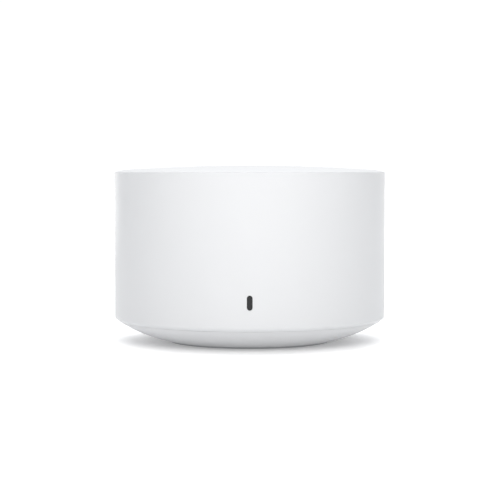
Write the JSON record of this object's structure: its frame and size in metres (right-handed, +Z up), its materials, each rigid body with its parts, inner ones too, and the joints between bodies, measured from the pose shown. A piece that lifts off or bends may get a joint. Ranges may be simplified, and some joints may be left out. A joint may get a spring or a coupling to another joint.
{
  "type": "mesh wifi node",
  "caption": "Squat round mesh wifi node: plain drum shell with a status slot, bowl-shaped base on a foot ring, rear bay with network and power sockets.",
  "frame": {"origin": "centre of the footprint, on the surface the node stands on", "axes": "+Z up along the axis of the drum; the status slot faces -Y and the connector bay faces +Y"},
  "size_m": [0.106, 0.106, 0.0688],
  "materials": {
    "shell_white": "satin",
    "foot_rubber": "matt",
    "label_film": "satin",
    "carrier_plastic": "matt",
    "panel_plastic": "satin",
    "smoked_lens": "gloss",
    "light_guide": "clear",
    "black_rubber": "matt",
    "board_green": "solder mask",
    "chip_black": "matt",
    "ferrite": "matt",
    "shield_steel": "tin plated",
    "sink_aluminium": "extruded",
    "thermal_pad": "soft",
    "socket_black": "satin",
    "contact_gold": "gold plated",
    "pin_nickel": "nickel plated",
    "antenna_film": "film",
    "coax_jacket": "gloss",
    "capacitor_can": "printed can",
    "led_white": "gloss",
    "button_grey": "satin",
    "switch_black": "matt",
    "screw_steel": "zinc plated"
  },
  "bodies": {
    "node": {"antenna_2g_left": "antenna_film", "antenna_2g_right": "antenna_film", "antenna_5g_left": "antenna_film", "antenna_5g_right": "antenna_film", "antenna_carrier": "carrier_plastic", "antenna_plugs": "contact_gold", "antenna_sockets": "contact_gold", "base_cover": "shell_white", "base_screws": "screw_steel", "board_screws": "screw_steel", "capacitors": "capacitor_can", "coax_2g_left": "coax_jacket", "coax_2g_right": "coax_jacket", "coax_5g_left": "coax_jacket", "coax_5g_right": "coax_jacket", "crystal": "shield_steel", "ethernet_switch_chip": "chip_black", "flash_chip": "chip_black", "foot_ring": "foot_rubber", "heat_sink": "sink_aluminium", "heat_sink_screws": "screw_steel", "inductors": "ferrite", "lan_jack_contacts": "contact_gold", "lan_jack_housing": "socket_black", "lan_jack_shield": "shield_steel", "lan_transformer": "chip_black", "led_board": "board_green", "led_package": "led_white", "light_baffle": "black_rubber", "light_guide": "light_guide", "main_board": "board_green", "memory_chip_left": "chip_black", "memory_chip_right": "chip_black", "outer_shell": "shell_white", "pair_switch_body": "switch_black", "port_bezel": "panel_plastic", "power_controller": "chip_black", "power_jack": "socket_black", "power_pin": "pin_nickel", "processor": "chip_black", "processor_pad": "thermal_pad", "processor_shield": "shield_steel", "radio_chip_2g": "chip_black", "radio_chip_5g": "chip_black", "radio_shield_2g": "shield_steel", "radio_shield_5g": "shield_steel", "rating_label": "label_film", "reset_switch_body": "switch_black", "shield_pad": "thermal_pad", "status_window": "smoked_lens", "top_cap": "shell_white", "wan_jack_contacts": "contact_gold", "wan_jack_housing": "socket_black", "wan_jack_shield": "shield_steel", "wan_transformer": "chip_black"},
    "pair_button": {"pair_button": "button_grey", "pair_switch_plunger": "switch_black"},
    "reset_button": {"reset_button": "button_grey", "reset_switch_plunger": "switch_black"}
  },
  "joints": [
    {"name": "pair_press", "type": "slide", "parent": "node", "child": "pair_button", "axis": [0, -1, 0], "range_m": [0, 0.0004], "stiffness_N_per_m": 500, "springref_m": -0.002},
    {"name": "reset_press", "type": "slide", "parent": "node", "child": "reset_button", "axis": [0, 0, 1], "range_m": [0, 0.0005], "stiffness_N_per_m": 500, "springref_m": -0.002}
  ]
}
